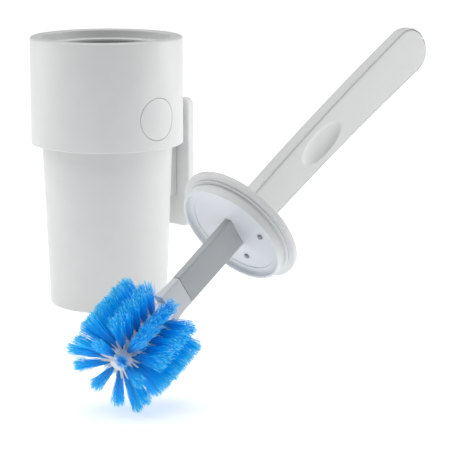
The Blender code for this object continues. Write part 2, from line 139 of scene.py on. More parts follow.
RECESS_HALF_WIDTH = 0.0085
RECESS_DIP = 0.0024
DIMPLE_MARGIN = 0.0008
DIMPLE_DROP = 0.0012
PIN_R = 0.0016
PIN_HEIGHTS = (0.0080, 0.0160)
SOCKET_TOP = -0.0620
SOCKET_LOW = -0.0795
SOCKET_EDGE = 0.0003
SOCKET_FLARE = ((-0.0700, 0.0), (-0.0745, 0.0003), (-0.0785, 0.0008))
CORE_R = 0.0082
CORE_END = -0.1280
ROWS = 10
SIDE_RINGS = 5
BRISTLE_R = 0.0344
BRISTLE_TOP = -0.0805
DOME_CENTRE = -0.1222
ROW_TURN = math.radians(18.0)
BRUSH_AT = (0.2280, -0.0887, 0.1025)
BRUSH_RISE = math.radians(34.3)
BRUSH_SPIN = math.radians(-90.0)
PLACE = (
    Matrix.Translation(BRUSH_AT)
    @ Matrix.Rotation(BRUSH_RISE - math.pi / 2, 4, "X")
    @ Matrix.Rotation(BRUSH_SPIN, 4, "Z")
)

# Camera and lights.
CAMERA_TURN = math.radians(48.86)
CAMERA_DISTANCE = 1.5
CAMERA_HEIGHT = 0.3501
CAMERA_YAW = math.radians(45.57)
CAMERA_PITCH = math.radians(-11.12)
CAMERA_LENS = 166.2
CAMERA_SENSOR = 36.0


# ---------------------------------------------------------------- mesh helpers


def new_object(name, points, faces):
    """A mesh object with its normals facing out and its sharp edges kept by angle."""
    mesh = bpy.data.meshes.new(name)
    mesh.from_pydata(points, [], faces)
    tidy_mesh(mesh)
    made = bpy.data.objects.new(name, mesh)
    bpy.context.scene.collection.objects.link(made)
    return made


def tidy_mesh(mesh):
    work = bmesh.new()
    work.from_mesh(mesh)
    bmesh.ops.remove_doubles(work, verts=work.verts, dist=1e-6)
    bmesh.ops.dissolve_degenerate(work, edges=work.edges, dist=1e-7)
    bmesh.ops.recalc_face_normals(work, faces=work.faces)
    for face in work.faces:
        face.smooth = True
    work.to_mesh(mesh)
    work.free()
    mesh.set_sharp_from_angle(angle=SHARP_ANGLE)


def fillet(corners, steps=6):
    """Rounds the corners (a, b, radius) of a closed outline. A corner with radius 0 stays sharp."""
    outline = []
    count = len(corners)
    for k, (a, b, radius) in enumerate(corners):
        here = Vector((a, b))
        before = Vector(corners[k - 1][:2]) - here
        after = Vector(corners[(k + 1) % count][:2]) - here
        turn = before.angle(after) if before.length and after.length else math.pi
        if radius <= 0 or turn > math.pi - 0.01:
            outline.append((a, b))
            continue
        reach = min(radius / math.tan(turn / 2), before.length * 0.49, after.length * 0.49)
        start = here + before.normalized() * reach
        end = here + after.normalized() * reach
        true_radius = reach * math.tan(turn / 2)
        inward = (before.normalized() + after.normalized()).normalized()
        middle = here + inward * (true_radius / math.sin(turn / 2))
        swing = (start - middle).angle(end - middle)
        for step in range(steps + 1):
            share = step / steps
            weight_a = math.sin((1 - share) * swing) / math.sin(swing)
            weight_b = math.sin(share * swing) / math.sin(swing)
            arm = (start - middle) * weight_a + (end - middle) * weight_b
            point = middle + arm
            outline.append((point.x, point.y))
    return outline


def lathe(name, outline, steps=LATHE_STEPS):
    """Turns a closed outline of (radius, z) about Z. Points with radius 0 lie on the axis."""
    points = []
    for step in range(steps):
        turn = 2 * math.pi * step / steps
        for radius, z in outline:
            points.append((radius * math.cos(turn), radius * math.sin(turn), z))
    count = len(outline)
    faces = []
    for step in range(steps):
        here = step * count
        there = ((step + 1) % steps) * count
        for k in range(count):
            after = (k + 1) % count
            near_axis = outline[k][0] < 1e-7
            far_axis = outline[after][0] < 1e-7
            if near_axis and far_axis:
                continue
            if near_axis:
                faces.append((here + k, there + after, here + after))
            elif far_axis:
                faces.append((here + k, there + k, here + after))
            else:
                faces.append((here + k, there + k, there + after, here + after))
    return new_object(name, points, faces)


def loft(name, rings):
    """Joins rings of equal length into one solid, closed at both ends."""
    count = len(rings[0])
    points = [point for ring in rings for point in ring]
    faces = [tuple(range(count)), tuple(range(len(points) - count, len(points)))]
    for level in range(len(rings) - 1):
        here = level * count
        for k in range(count):
            after = (k + 1) % count
            faces.append((here + k, here + after, here + count + after, here + count + k))
    return new_object(name, points, faces)


def prism(name, outline, low, high, along="Z", edge=0.0, steps=3):
    """Pushes an outline along one axis, with its end edges drawn in by a round edge."""
    levels = []
    for step in range(steps if edge > 0 else 0, -1, -1):
        turn = math.pi / 2 * step / steps
        levels.append((low + edge * (1 - math.sin(turn)), edge * (1 - math.cos(turn))))
    levels += [(high + low - level, inset) for level, inset in reversed(levels)]
    rings = []
    for level, inset in levels:
        ring = []
        for a, b in inset_outline(outline, inset):
            if along == "Z":
                ring.append((a, b, level))
            elif along == "Y":
                ring.append((a, level, b))
            else:
                ring.append((level, a, b))
        rings.append(ring)
    return loft(name, rings)


def inset_outline(outline, inset):
    """Moves every point of an anticlockwise outline inwards along its corner's bisector."""
    if inset <= 0:
        return list(outline)
    moved = []
    count = len(outline)
    for k in range(count):
        here = Vector(outline[k])
        back = (here - Vector(outline[k - 1])).normalized()
        ahead = (Vector(outline[(k + 1) % count]) - here).normalized()
        normal = Vector((-(back.y + ahead.y), back.x + ahead.x))
        if normal.length < 1e-6:
            moved.append(tuple(here))
            continue
        normal.normalize()
        lean = max(0.35, normal.dot(Vector((-ahead.y, ahead.x))))
        moved.append(tuple(here + normal * (inset / lean)))
    return moved


def rectangle(half_a, low_b, high_b, radius):
    """Corners of a rectangle with one corner radius, anticlockwise, for fillet()."""
    return [
        (half_a, low_b, radius),
        (half_a, high_b, radius),
        (-half_a, high_b, radius),
        (-half_a, low_b, radius),
    ]


def circle(radius, middle=(0.0, 0.0), steps=64):
    outline = []
    for step in range(steps):
        turn = 2 * math.pi * step / steps
        outline.append((middle[0] + radius * math.cos(turn), middle[1] + radius * math.sin(turn)))
    return outline


def turned(piece, angle, axis="Z"):
    piece.data.transform(Matrix.Rotation(angle, 4, axis))
    return piece


def joined(name, pieces):
    """One object from several separate closed shells."""
    work = bmesh.new()
    for piece in pieces:
        work.from_mesh(piece.data)
        bpy.data.objects.remove(piece, do_unlink=True)
    mesh = bpy.data.meshes.new(name)
    work.to_mesh(mesh)
    work.free()
    mesh.set_sharp_from_angle(angle=SHARP_ANGLE)
    made = bpy.data.objects.new(name, mesh)
    bpy.context.scene.collection.objects.link(made)
    return made


def carve(piece, cutter, operation="DIFFERENCE"):
    """Applies a Boolean to the piece and removes the cutter."""
    change = piece.modifiers.new("carve", "BOOLEAN")
    change.operation = operation
    change.solver = "EXACT"
    change.object = cutter
    bpy.context.view_layer.update()
    done = bpy.data.meshes.new_from_object(piece.evaluated_get(bpy.context.evaluated_depsgraph_get()))
    piece.modifiers.remove(change)
    old = piece.data
    piece.data = done
    bpy.data.meshes.remove(old)
    bpy.data.objects.remove(cutter, do_unlink=True)
    tidy_mesh(piece.data)
    return piece


def finish_piece(piece, body, material, replaced=()):
    """Gives a piece its material, its body and the CAD nodes it stands for."""
    piece.data.materials.clear()
    piece.data.materials.append(material)
    if body == "brush":
        piece.data.transform(PLACE)
    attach(piece, body)
    if replaced:
        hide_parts(*replaced)
    return piece


# ---------------------------------------------------------------- materials


def start_material(name, roughness):
    made = bpy.data.materials.new(name)
    made.use_nodes = True
    tree = made.node_tree
    shader = tree.nodes["Principled BSDF"]
    shader.inputs["Roughness"].default_value = roughness
    return made, tree, shader


def noise(tree, scale, detail=4.0, roughness=0.55, stretch=None):
    """A noise texture on the object's own coordinates."""
    place = tree.nodes.new("ShaderNodeTexCoord")
    texture = tree.nodes.new("ShaderNodeTexNoise")
    texture.inputs["Scale"].default_value = scale
    texture.inputs["Detail"].default_value = detail
    texture.inputs["Roughness"].default_value = roughness
    source = place.outputs["Object"]
    if stretch:
        mapping = tree.nodes.new("ShaderNodeMapping")
        mapping.inputs["Scale"].default_value = stretch
        tree.links.new(source, mapping.inputs["Vector"])
        source = mapping.outputs["Vector"]
    tree.links.new(source, texture.inputs["Vector"])
    return texture.outputs["Fac"]


def ramp(tree, source, low, high, start=0.3, end=0.7):
    """A colour ramp between two colours."""
    made = tree.nodes.new("ShaderNodeValToRGB")
    made.color_ramp.elements[0].position = start
    made.color_ramp.elements[0].color = low
    made.color_ramp.elements[1].position = end
    made.color_ramp.elements[1].color = high
    tree.links.new(source, made.inputs["Fac"])
    return made.outputs["Color"]


def spread(tree, source, low, high, start=0.0, end=1.0):
    """Maps the range from start to end onto the range from low to high."""
    made = tree.nodes.new("ShaderNodeMapRange")
    made.inputs["From Min"].default_value = start
    made.inputs["From Max"].default_value = end
    made.inputs["To Min"].default_value = low
    made.inputs["To Max"].default_value = high
    tree.links.new(source, made.inputs["Value"])
    return made.outputs["Result"]


def bump(tree, shader, source, distance, strength=1.0):
    made = tree.nodes.new("ShaderNodeBump")
    made.inputs["Strength"].default_value = strength
    made.inputs["Distance"].default_value = distance
    tree.links.new(source, made.inputs["Height"])
    tree.links.new(made.outputs["Normal"], shader.inputs["Normal"])


def grey(value, cast=(0.0, 0.0, 0.0)):
    return (value + cast[0], value + cast[1], value + cast[2], 1.0)


def moulded_plastic(name, value, cast, rough_low, rough_high, grain=2600.0, depth=0.00002, stretch=None):
    """Moulded plastic: a faint mottle, uneven gloss, and a fine grain left by the mould."""
    made, tree, shader = start_material(name, rough_low)
    shader.inputs["IOR"].default_value = 1.49
    shader.inputs["Subsurface Weight"].default_value = 0.0
    mottle = noise(tree, 55.0, 3.0)
    colour = ramp(tree, mottle, grey(value - 0.012, cast), grey(value + 0.008, cast))
    tree.links.new(colour, shader.inputs["Base Color"])
    gloss = noise(tree, 210.0, 5.0, 0.6)
    tree.links.new(spread(tree, gloss, rough_low, rough_high), shader.inputs["Roughness"])
    bump(tree, shader, noise(tree, grain, 3.0, 0.6, stretch), depth, 0.6)
    return made


# Painted glow: the nylon gives off light of its own, standing in for light that comes through the clear
# filaments.
GLOW = 0.10
# Colours by share of a filament's length, and of its cut end. The blue is the nylon's own; its darkening
# towards the root is painted shade and its brightening towards the tip is painted light.
BRISTLE_BLUES_PAINTED_SHADE_AND_LIGHT = (
    (0.0, (0.001, 0.17, 0.55, 1.0)),
    (0.55, (0.002, 0.44, 0.92, 1.0)),
    (0.9, (0.005, 0.57, 0.97, 1.0)),
    (1.0, (0.020, 0.70, 1.0, 1.0)),
)
CUT_COLOUR = (0.55, 0.88, 1.0, 1.0)
# Pale ends start at this share of the length, on filaments with more luck than this.
PALE_FROM = 0.90
LUCKY_FROM = 0.45


def bristle_material():
    """Nylon filaments of one blue: painted shade makes it deep at the root, painted light makes it bright
    at the tip, some have pale cut ends, and all give off a painted glow.
    """
    made, tree, shader = start_material("bristle_nylon", 0.36)
    shader.inputs["IOR"].default_value = 1.53
    along = tree.nodes.new("ShaderNodeAttribute")
    along.attribute_name = "along"
    luck = tree.nodes.new("ShaderNodeAttribute")
    luck.attribute_name = "luck"
    # This ramp paints shade towards the root and light towards the tip of each filament.
    body = tree.nodes.new("ShaderNodeValToRGB")
    stops = body.color_ramp.elements
    stops[0].color = BRISTLE_BLUES_PAINTED_SHADE_AND_LIGHT[0][1]
    stops[1].color = BRISTLE_BLUES_PAINTED_SHADE_AND_LIGHT[-1][1]
    for position, colour in BRISTLE_BLUES_PAINTED_SHADE_AND_LIGHT[1:-1]:
        stops.new(position).color = colour
    tree.links.new(along.outputs["Fac"], body.inputs["Fac"])
    tint = tree.nodes.new("ShaderNodeHueSaturation")
    tree.links.new(body.outputs["Color"], tint.inputs["Color"])
    tree.links.new(spread(tree, luck.outputs["Fac"], 0.72, 1.30), tint.inputs["Value"])
    cut = tree.nodes.new("ShaderNodeMix")
    cut.data_type = "RGBA"
    pale = tree.nodes.new("ShaderNodeMath")
    pale.operation = "MULTIPLY"
    tree.links.new(spread(tree, along.outputs["Fac"], 0.0, 1.0, PALE_FROM), pale.inputs[0])
    tree.links.new(spread(tree, luck.outputs["Fac"], 0.0, 1.0, LUCKY_FROM), pale.inputs[1])
    tree.links.new(pale.outputs["Value"], cut.inputs["Factor"])
    tree.links.new(tint.outputs["Color"], cut.inputs["A"])
    cut.inputs["B"].default_value = CUT_COLOUR
    tree.links.new(cut.outputs["Result"], shader.inputs["Base Color"])
    # Painted glow: each filament gives off its own colour as light, pale cut ends included.
    tree.links.new(cut.outputs["Result"], shader.inputs["Emission Color"])
    shader.inputs["Emission Strength"].default_value = GLOW
    tree.links.new(spread(tree, noise(tree, 900.0), 0.30, 0.46), shader.inputs["Roughness"])
    bump(tree, shader, noise(tree, 3500.0, 2.0), 0.00003, 0.5)
    return made


def steel_material():
    made, tree, shader = start_material("pin_steel", 0.3)
    shader.inputs["Metallic"].default_value = 1.0
    streak = noise(tree, 900.0, 4.0, 0.6, (1.0, 1.0, 12.0))
    tree.links.new(ramp(tree, streak, grey(0.46), grey(0.60)), shader.inputs["Base Color"])
    tree.links.new(spread(tree, streak, 0.22, 0.40), shader.inputs["Roughness"])
    bump(tree, shader, streak, 0.00002)
    return made


def foam_material():
    made, tree, shader = start_material("tape_foam", 0.85)
    cells = noise(tree, 1400.0, 5.0, 0.7)
    tree.links.new(ramp(tree, cells, grey(0.66), grey(0.82)), shader.inputs["Base Color"])
    tree.links.new(spread(tree, cells, 0.75, 0.95), shader.inputs["Roughness"])
    bump(tree, shader, cells, 0.00015)
    return made


# The floor is a lit sheet, so it gives off part of its light itself.
FLOOR_GLOW = 0.50


def floor_material():
    made, tree, shader = start_material("studio_floor", 0.9)
    shader.inputs["Specular IOR Level"].default_value = 0.0
    soft = noise(tree, 3.0, 2.0)
    tree.links.new(ramp(tree, soft, grey(0.77), grey(0.79)), shader.inputs["Base Color"])
    tree.links.new(spread(tree, soft, 0.85, 0.95), shader.inputs["Roughness"])
    bump(tree, shader, noise(tree, 400.0, 3.0), 0.00002, 0.3)
    shader.inputs["Emission Color"].default_value = (1.0, 1.0, 1.0, 1.0)
    shader.inputs["Emission Strength"].default_value = FLOOR_GLOW
    return made


WHITE = moulded_plastic("white_moulded", 0.74, (0.0, 0.004, 0.0), 0.30, 0.42)
SATIN = moulded_plastic("white_satin_handle", 0.72, (0.0, 0.004, 0.0), 0.34, 0.46)
# The bracket's white is a lighter copy of the holder's white: painted light on the bracket, which sits in
# the cup's shade.
PLATE_PAINTED_LIGHTER = moulded_plastic("bracket_moulded", 0.86, (0.0, 0.002, 0.0), 0.34, 0.46)
COOL = moulded_plastic("cool_white_moulded", 0.76, (0.0, 0.012, 0.024), 0.36, 0.48)
SLEEVE = moulded_plastic("sleeve_moulded", 0.66, (0.0, 0.012, 0.020), 0.36, 0.50)
BAR = moulded_plastic("stem_moulded", 0.46, (0.0, 0.012, 0.022), 0.38, 0.50, stretch=(1.0, 1.0, 0.2))
HUB = moulded_plastic("hub_moulded", 0.80, (0.0, 0.010, 0.020), 0.36, 0.50)
CLIP_GREY = moulded_plastic("clip_moulded", 0.34, (0.0, 0.004, 0.010), 0.45, 0.60)
BLUE = bristle_material()
STEEL = steel_material()
FOAM = foam_material()


# ---------------------------------------------------------------- holder


def cup_radius(z):
    """Outer radius of the cup at a height."""
    return FOOT_R + (CUP_R_AT_COLLAR - FOOT_R) * z / COLLAR_BOTTOM


def surface_x(y, radius):
    """X of a round wall's outside at a sideways distance y."""
    return math.sqrt(radius * radius - y * y)


def button_grid(name, rings):
    """A closed shell about +X from rings of (radius, lift above a wall, radius of that wall)."""
    steps = BUTTON_STEPS
    points = []
    for radius, lift, wall in rings:
        for step in range(steps):
            turn = 2 * math.pi * step / steps
            y = radius * math.cos(turn)
            z = BUTTON_Z + radius * math.sin(turn)
            points.append((surface_x(y, wall) + lift, y, z))
    first = len(points)
    points.append((rings[0][2] + rings[0][1], 0.0, BUTTON_Z))
    points.append((rings[-1][2] + rings[-1][1], 0.0, BUTTON_Z))
    faces = []
    last = (len(rings) - 1) * steps
    for step in range(steps):
        after = (step + 1) % steps
        faces.append((first, step, after))
        faces.append((first + 1, last + after, last + step))
        for level in range(len(rings) - 1):
            here = level * steps
            faces.append((here + step, here + steps + step, here + steps + after, here + after))
    return new_object(name, points, faces)


def make_collar_shell():
    """The collar with its rim, the recess for the lid and the ledge under it, all as one wall."""
    inner = COLLAR_R - COLLAR_SKIN
    under_rim = COLLAR_TOP - RIM_THICK
    corners = [
        (COLLAR_R, COLLAR_BOTTOM, 0.0007),
        (COLLAR_R, COLLAR_TOP, 0.0017),
        (RECESS_R, COLLAR_TOP, 0.0012),
        (RECESS_R, LEDGE_Z, 0.0005),
        (BORE_R, LEDGE_Z, 0.0008),
        (BORE_R, LEDGE_Z - LEDGE_THICK, 0.0006),
        (RECESS_R + RECESS_WALL, LEDGE_Z - LEDGE_THICK, 0.0010),
        (RECESS_R + RECESS_WALL, under_rim, 0.0010),
        (inner, under_rim, 0.0010),
        (inner, COLLAR_BOTTOM, 0.0004),
    ]
    shell = lathe("collar_shell", fillet(corners))
    hole = BUTTON_R + BUTTON_SEAM
    outside, inside = 0.0040, -0.0060
    rings = [(radius, outside, COLLAR_R) for radius in (0.004, 0.010, hole + 0.0012)]
    for step in range(5):
        turn = math.pi / 2 * step / 4
        radius = hole + BUTTON_EDGE * (1 - math.sin(turn))
        rings.append((radius, -BUTTON_EDGE * (1 - math.cos(turn)), COLLAR_R))
    rings += [(radius, inside, COLLAR_R) for radius in (hole, 0.010, 0.004)]
    shell = carve(shell, button_grid("hole_cutter", rings))
    reach = cup_radius(RIB_HIGH) + GAP
    root = inner + 0.001
    outline = fillet(
        [
            (root, RIB_LOW, 0),
            (root, RIB_HIGH, 0),
            (reach, RIB_HIGH, 0.001),
            (reach, RIB_LOW, 0.001),
        ]
    )
    ribs = []
    for k in range(RIB_COUNT):
        rib = prism("rib", outline, -RIB_WIDTH / 2, RIB_WIDTH / 2, "Y")
        ribs.append(turned(rib, 2 * math.pi * (k + 0.5) / RIB_COUNT))
    shell = joined("collar_shell", [shell] + ribs)
    return finish_piece(shell, "holder", WHITE, ("collar", "mouth_ring"))


def make_cup_shell():
    """The tapered cup with a thin foot ring, its inside and the channel on its back."""
    foot_in = FOOT_R - FOOT_RING
    corners = [
        (0.0, FOOT_RISE, 0),
        (foot_in - 0.0008, FOOT_RISE, 0.0006),
        (foot_in, 0.0, 0.0006),
        (FOOT_R, 0.0, 0.0017),
        (cup_radius(CUP_TOP), CUP_TOP, 0.0008),
        (cup_radius(CUP_TOP) - CUP_WALL, CUP_TOP, 0.0008),
        (FOOT_R - CUP_WALL, CUP_FLOOR, 0.0040),
        (0.0, CUP_FLOOR, 0),
    ]
    shell = lathe("cup_shell", fillet(corners, 8))
    parts = [shell]
    root = []
    for step in range(9):
        x = CHANNEL_HALF - 2 * CHANNEL_HALF * step / 8
        root.append((-x, math.sqrt(CHANNEL_ROOT_R ** 2 - x * x)))
    back = BRACKET_FRONT - GAP
    edge = 0.0007
    slot = [
        (CHANNEL_HALF, back, edge),
        (TONGUE_NECK + GAP, back, 0.0004),
        (TONGUE_NECK + GAP, TONGUE_STEP + GAP, 0.0003),
        (TONGUE_HEAD + GAP, TONGUE_STEP + GAP, 0.0003),
        (TONGUE_HEAD + GAP, TONGUE_FRONT - GAP, 0.0003),
        (-TONGUE_HEAD - GAP, TONGUE_FRONT - GAP, 0.0003),
        (-TONGUE_HEAD - GAP, TONGUE_STEP + GAP, 0.0003),
        (-TONGUE_NECK - GAP, TONGUE_STEP + GAP, 0.0003),
        (-TONGUE_NECK - GAP, back, 0.0004),
        (-CHANNEL_HALF, back, edge),
    ]
    root = [(a, b, 0.0) for a, b in root]
    parts.append(prism("channel", fillet(root + slot, 3), CHANNEL_LOW, TONGUE_HIGH + GAP + 0.0002))
    cap = fillet(root + [(CHANNEL_HALF, back, edge), (-CHANNEL_HALF, back, edge)], 3)
    parts.append(prism("channel_cap", cap, TONGUE_HIGH + GAP, CHANNEL_HIGH))
    out = cup_radius(RIB_LOW) + LUG_REACH
    top = RIB_LOW - GAP
    low = top - LUG_HEIGHT
    lug = fillet([(LUG_ROOT_R, low, 0), (out, low, 0.0012), (out, top, 0.0004), (LUG_ROOT_R, top, 0)])
    for k in range(RIB_COUNT):
        solid = prism("lug", lug, -RIB_WIDTH / 2, RIB_WIDTH / 2, "Y")
        parts.append(turned(solid, 2 * math.pi * (k + 0.5) / RIB_COUNT))
    shell = joined("cup_shell", parts)
    return finish_piece(shell, "holder", WHITE, ("cup",))


def make_button_disc():
    """The round piece of the collar's wall, with a soft edge and a thin flange behind the wall."""
    rings = [(radius, 0.0, COLLAR_R) for radius in (0.0015, 0.004, 0.007, 0.010, 0.0125)]
    for step in range(6):
        turn = math.pi / 2 * step / 5
        radius = BUTTON_R - BUTTON_EDGE * (1 - math.sin(turn))
        rings.append((radius, -BUTTON_EDGE * (1 - math.cos(turn)), COLLAR_R))
    skin = COLLAR_R - COLLAR_SKIN - BUTTON_PLAY
    back = BUTTON_BACK - BUTTON_PLAY
    rings.append((BUTTON_R, 0.0, skin))
    rings.append((BUTTON_FLANGE_R, 0.0, skin))
    rings.append((BUTTON_FLANGE_R, 0.0, back))
    rings.append((0.008, 0.0, back))
    disc = button_grid("button_disc", rings)
    return finish_piece(disc, "release_button", WHITE, ("release_button",))


def make_bracket_plate():
    """The wall plate with round edges, and the T tongue that the cup's channel drops over."""
    outline = fillet(rectangle(BRACKET_HALF, BRACKET_LOW, BRACKET_HIGH, BRACKET_CORNER), 10)
    outline = [(-a, b) for a, b in reversed(outline)]
    plate = prism("plate", outline, BRACKET_FRONT, BRACKET_BACK, "Y", 0.0012, 5)
    tongue = fillet(
        [
            (-TONGUE_HEAD, TONGUE_FRONT, 0.0006),
            (TONGUE_HEAD, TONGUE_FRONT, 0.0006),
            (TONGUE_HEAD, TONGUE_STEP, 0.0005),
            (TONGUE_NECK, TONGUE_STEP, 0.0005),
            (TONGUE_NECK, BRACKET_FRONT + 0.001, 0),
            (-TONGUE_NECK, BRACKET_FRONT + 0.001, 0),
            (-TONGUE_NECK, TONGUE_STEP, 0.0005),
            (-TONGUE_HEAD, TONGUE_STEP, 0.0005),
        ],
        4,
    )
    tongue = prism("tongue", tongue, TONGUE_LOW, TONGUE_HIGH, "Z", 0.0005)
    plate = joined("bracket_plate", [plate, tongue])
    return finish_piece(plate, "wall_bracket", PLATE_PAINTED_LIGHTER, ("wall_bracket",))


# ---------------------------------------------------------------- lid and handle


def slot_cutter(low, high, play=0.0002):
    half_thick = STEM_THICK / 2 + play
    outline = fillet(rectangle(STEM_WIDE / 2 + play, -half_thick, half_thick, STEM_ROUND), 5)
    return prism("slot_cutter", outline, low, high)


def clip_cutter(middle):
    outline = rectangle(CLIP_SIZE / 2 + GAP, -CLIP_SIZE / 2 - GAP, CLIP_SIZE / 2 + GAP, 0)
    outline = [(a + middle[0], b + middle[1]) for a, b, _ in outline]
    return prism("clip_cutter", outline, LID_CEILING - 0.003, -0.0016 + GAP)


def make_lid():
    """The round lid: a white flange, and under it the cooler white base with its step, groove and skirt."""
    top = fillet(
        [
            (0.0, -LID_FLANGE, 0),
            (LID_R, -LID_FLANGE, 0.0006),
            (LID_R, 0.0, 0.0011),
            (LID_R - 0.0075, 0.0, 0.0010),
            (LID_R - 0.0081, -0.0006, 0.0006),
            (0.0, -0.0006, 0),
        ]
    )
    flange = lathe("lid_flange", top)
    inner = SKIRT_R - SKIRT_WALL
    under = fillet(
        [
            (0.0, LID_CEILING, 0),
            (inner - 0.0042, LID_CEILING, 0.0003),
            (inner - 0.0046, LID_CEILING - 0.0005, 0.0003),
            (inner, LID_CEILING - 0.0005, 0.0009),
            (inner, SKIRT_LOW, 0.0007),
            (SKIRT_R, SKIRT_LOW, 0.0008),
            (SKIRT_R, GROOVE_LOW, 0.0004),
            (GROOVE_R, GROOVE_LOW, 0.0003),
            (GROOVE_R, STEP_LOW, 0.0003),
            (STEP_R, STEP_LOW, 0.0005),
            (STEP_R, -LID_FLANGE - GAP / 2, 0.0002),
            (0.0, -LID_FLANGE - GAP / 2, 0),
        ]
    )
    skirt = lathe("lid_skirt", under)
    for piece in (flange, skirt):
        carve(piece, slot_cutter(-0.03, 0.03))
        for middle in CLIP_AT:
            carve(piece, clip_cutter(middle))
    finish_piece(flange, "brush", WHITE, ("lid_top",))
    finish_piece(skirt, "brush", COOL, ("lid_base",))


def handle_half_width(z):
    share = z / HANDLE_LENGTH
    half = HANDLE_FOOT_HALF + (HANDLE_END_HALF - HANDLE_FOOT_HALF) * share
    start = HANDLE_LENGTH - HANDLE_END_HALF
    if z > start:
        past = min(1.0, (z - start) / HANDLE_END_HALF)
        half *= math.sqrt(max(0.0, 1 - past ** 2.4))
    return half


def handle_thickness(z):
    return HANDLE_FOOT_THICK + (HANDLE_END_THICK - HANDLE_FOOT_THICK) * z / HANDLE_LENGTH


def handle_bow(z):
    return HANDLE_BOW * (z / HANDLE_LENGTH) ** 2


def handle_levels(low, high, body=110, end=30):
    """Heights of the rings: even along the grip and closer together around the end."""
    start = HANDLE_LENGTH - HANDLE_END_HALF
    levels = [low + (start - low) * k / body for k in range(body)]
    levels += [start + (high - start) * math.sin(math.pi / 2 * k / end) for k in range(end + 1)]
    return levels


def arc(middle, radius, start, end, steps):
    """Points of an arc from one angle to another, in degrees."""
    points = []
    for step in range(steps + 1):
        turn = math.radians(start + (end - start) * step / steps)
        points.append((middle[0] + radius * math.cos(turn), middle[1] + radius * math.sin(turn)))
    return points


def tip_drop(z, high, radius):
    """How far a round edge draws in at a height near the handle's tip."""
    past = (z - (high - radius)) / radius
    if past <= 0:
        return 0.0
    return radius * (1 - math.sqrt(max(0.0, 1 - min(1.0, past) ** 2)))


def make_handle_tray():
    """The handle's back shell: round behind, with a thin wall around the cover and a pocket inside."""
    high = HANDLE_LENGTH
    rings = []
    for z in handle_levels(GAP / 2, high - TIP_CUT):
        half = max(handle_half_width(z), 0.0011)
        thick = handle_thickness(z)
        bow = handle_bow(z)
        back = -thick / 2 + bow + tip_drop(z, high, TRAY_ROUND)
        front = thick / 2 + bow - 0.0006
        seat = thick / 2 - COVER_THICK + bow - GAP
        wall = min(COVER_INSET - 0.0002, half * 0.45)
        radius = min(TRAY_ROUND, half * 0.8, (front - back) * 0.6)
        lip = min(TRAY_LIP, wall * 0.4)
        pocket_half = max(0.0001, half - HANDLE_WALL)
        deep = seat - 0.0001
        if z < high - HANDLE_WALL - 0.002:
            deep = back + HANDLE_WALL
        ring = arc((half - radius, back + radius), radius, -90, 0, 8)
        ring += arc((half - lip, front - lip), lip, 0, 90, 3)
        ring += [(half - wall, front), (half - wall, seat)]
        pocket_half = min(pocket_half, half - wall - 0.0002)
        ring += [(pocket_half, seat), (pocket_half, deep), (-pocket_half, deep), (-pocket_half, seat)]
        ring += [(-half + wall, seat), (-half + wall, front)]
        ring += arc((-half + lip, front - lip), lip, 90, 180, 3)
        ring += arc((-half + radius, back + radius), radius, 180, 270, 8)
        rings.append([(x, y, z) for x, y in ring])
    tray = loft("handle_tray", rings)
    for height in PIN_HEIGHTS:
        bore = circle(PIN_R + GAP, (0.0, height), 32)
        carve(tray, prism("pin_cutter", bore, -handle_thickness(height), 0.0, "Y"))
    return finish_piece(tray, "brush", SATIN, ("handle_back",))


def recess_depth(x, z):
    """Depth of the oval thumb recess: steep at its rim and even across its floor."""
    size = math.hypot(x / RECESS_HALF_WIDTH, (z - RECESS_ALONG) / RECESS_HALF_LENGTH)
    if size >= 1.0:
        return 0.0
    return RECESS_DIP * (1 - size ** 2.6) ** 0.75


def dimple_drop(x, z):
    """How far the cover's inside stands out below the thumb recess."""
    across = x / (RECESS_HALF_WIDTH + DIMPLE_MARGIN)
    size = math.hypot(across, (z - RECESS_ALONG) / (RECESS_HALF_LENGTH + DIMPLE_MARGIN))
    return DIMPLE_DROP * (1 - size ** 4) if size < 1.0 else 0.0


def make_handle_cover():
    """The flat front of the handle, with a soft edge and the thumb recess."""
    high = HANDLE_LENGTH - COVER_INSET
    across = 48
    rings = []
    for z in handle_levels(GAP, high - TIP_CUT, 150, 30):
        half = max(handle_half_width(min(z + COVER_INSET * 0.4, HANDLE_LENGTH)) - COVER_INSET, 0.0008)
        thick = handle_thickness(z)
        bow = handle_bow(z)
        floor = thick / 2 - COVER_THICK + bow
        radius = min(COVER_EDGE, half * 0.6)
        face = thick / 2 + bow - tip_drop(z, high, COVER_EDGE)
        ring = [(half, floor)]
        ring += arc((half - radius, face - radius), radius, 0, 90, 5)
        flat = half - radius
        for step in range(1, across):
            x = flat - 2 * flat * step / across
            crown = COVER_CROWN * (1 - (x / half) ** 2)
            ring.append((x, face + crown - recess_depth(x, z)))
        ring += arc((-half + radius, face - radius), radius, 90, 180, 5)
        ring.append((-half, floor))
        for step in range(1, across):
            x = -flat + 2 * flat * step / across
            ring.append((x, floor - dimple_drop(x, z)))
        rings.append([(x, y, z) for x, y in ring])
    cover = loft("handle_cover", rings)
    return finish_piece(cover, "brush", SATIN, ("handle_front",))


# ---------------------------------------------------------------- stem and head


def bar_outline():
    return fillet(rectangle(STEM_WIDE / 2, -STEM_THICK / 2, STEM_THICK / 2, STEM_ROUND), 6)


def make_stem_bar():
    bar = prism("stem_bar", bar_outline(), SOCKET_TOP + GAP, STEM_TOP, "Z", 0.0003)
    return finish_piece(bar, "brush", BAR, ("stem",))


def widened(outline, grow):
    """The bar's outline with each side moved out."""
    across = 1 + grow / (STEM_WIDE / 2)
    through = 1 + grow / (STEM_THICK / 2)
    return [(x * across, y * through) for x, y in outline]


